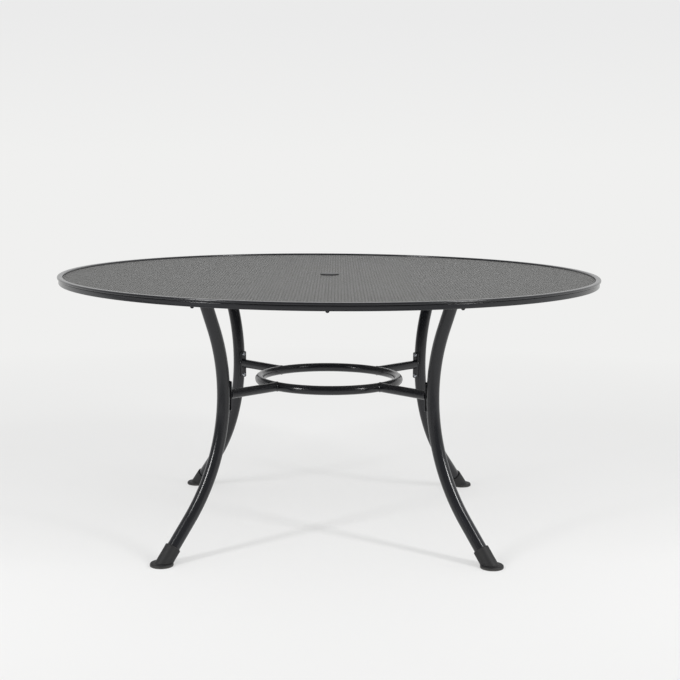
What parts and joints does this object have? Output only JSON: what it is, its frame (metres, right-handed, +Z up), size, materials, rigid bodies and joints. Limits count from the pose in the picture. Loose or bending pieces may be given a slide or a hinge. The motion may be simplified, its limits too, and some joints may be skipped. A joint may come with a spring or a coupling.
{
  "type": "umbrella table",
  "caption": "Round outdoor dining table with an expanded-steel top, a capped umbrella hole, bowed tube legs with flared boots and a round tube brace between them.",
  "frame": {"origin": "on the floor, under the centre of the round top", "axes": "+Z up, -Y towards the front, legs on the diagonals"},
  "size_m": [1.524, 1.524, 0.73],
  "materials": {
    "coated_steel": "semi-gloss charcoal powder coat",
    "mesh_steel": "semi-gloss charcoal powder coat on expanded sheet",
    "boot_plastic": "moulded matte black",
    "cap_plastic": "moulded satin black",
    "zinc_steel": "bright zinc plate"
  },
  "bodies": {
    "table": {"rim_lip": "coated_steel", "rim_hoop": "coated_steel", "mesh_panel": "mesh_steel", "hub_collar": "coated_steel", "hole_ring": "coated_steel", "lower_rod_left": "coated_steel", "lower_rod_right": "coated_steel", "lower_rod_middle_front": "coated_steel", "lower_rod_middle_back": "coated_steel", "upper_rod_front": "coated_steel", "upper_rod_back": "coated_steel", "upper_rod_middle_right": "coated_steel", "upper_rod_middle_left": "coated_steel", "leg_mount_front_right": "coated_steel", "leg_mount_back_right": "coated_steel", "leg_mount_back_left": "coated_steel", "leg_mount_front_left": "coated_steel", "leg_front_right": "coated_steel", "leg_back_right": "coated_steel", "leg_back_left": "coated_steel", "leg_front_left": "coated_steel", "boot_front_right": "boot_plastic", "boot_back_right": "boot_plastic", "boot_back_left": "boot_plastic", "boot_front_left": "boot_plastic", "brace_ring": "coated_steel", "brace_arm_front_right": "coated_steel", "brace_arm_back_right": "coated_steel", "brace_arm_back_left": "coated_steel", "brace_arm_front_left": "coated_steel", "brace_bracket_front_right": "coated_steel", "brace_bracket_back_right": "coated_steel", "brace_bracket_back_left": "coated_steel", "brace_bracket_front_left": "coated_steel", "bracket_bolt_low_front_right": "zinc_steel", "bracket_bolt_high_front_right": "zinc_steel", "bracket_bolt_low_back_right": "zinc_steel", "bracket_bolt_high_back_right": "zinc_steel", "bracket_bolt_low_back_left": "zinc_steel", "bracket_bolt_high_back_left": "zinc_steel", "bracket_bolt_low_front_left": "zinc_steel", "bracket_bolt_high_front_left": "zinc_steel", "flange_bolt_a_front_right": "zinc_steel", "flange_bolt_b_front_right": "zinc_steel", "flange_bolt_a_back_right": "zinc_steel", "flange_bolt_b_back_right": "zinc_steel", "flange_bolt_a_back_left": "zinc_steel", "flange_bolt_b_back_left": "zinc_steel", "flange_bolt_a_front_left": "zinc_steel", "flange_bolt_b_front_left": "zinc_steel", "flange_nut_a_front_right": "zinc_steel", "flange_nut_b_front_right": "zinc_steel", "flange_nut_a_back_right": "zinc_steel", "flange_nut_b_back_right": "zinc_steel", "flange_nut_a_back_left": "zinc_steel", "flange_nut_b_back_left": "zinc_steel", "flange_nut_a_front_left": "zinc_steel", "flange_nut_b_front_left": "zinc_steel"},
    "cap": {"hole_cap": "cap_plastic"}
  },
  "joints": [
    {"name": "cap_lift", "type": "slide", "parent": "table", "child": "cap", "axis": [0, 0, 1], "range_m": [0, 0.15]}
  ]
}
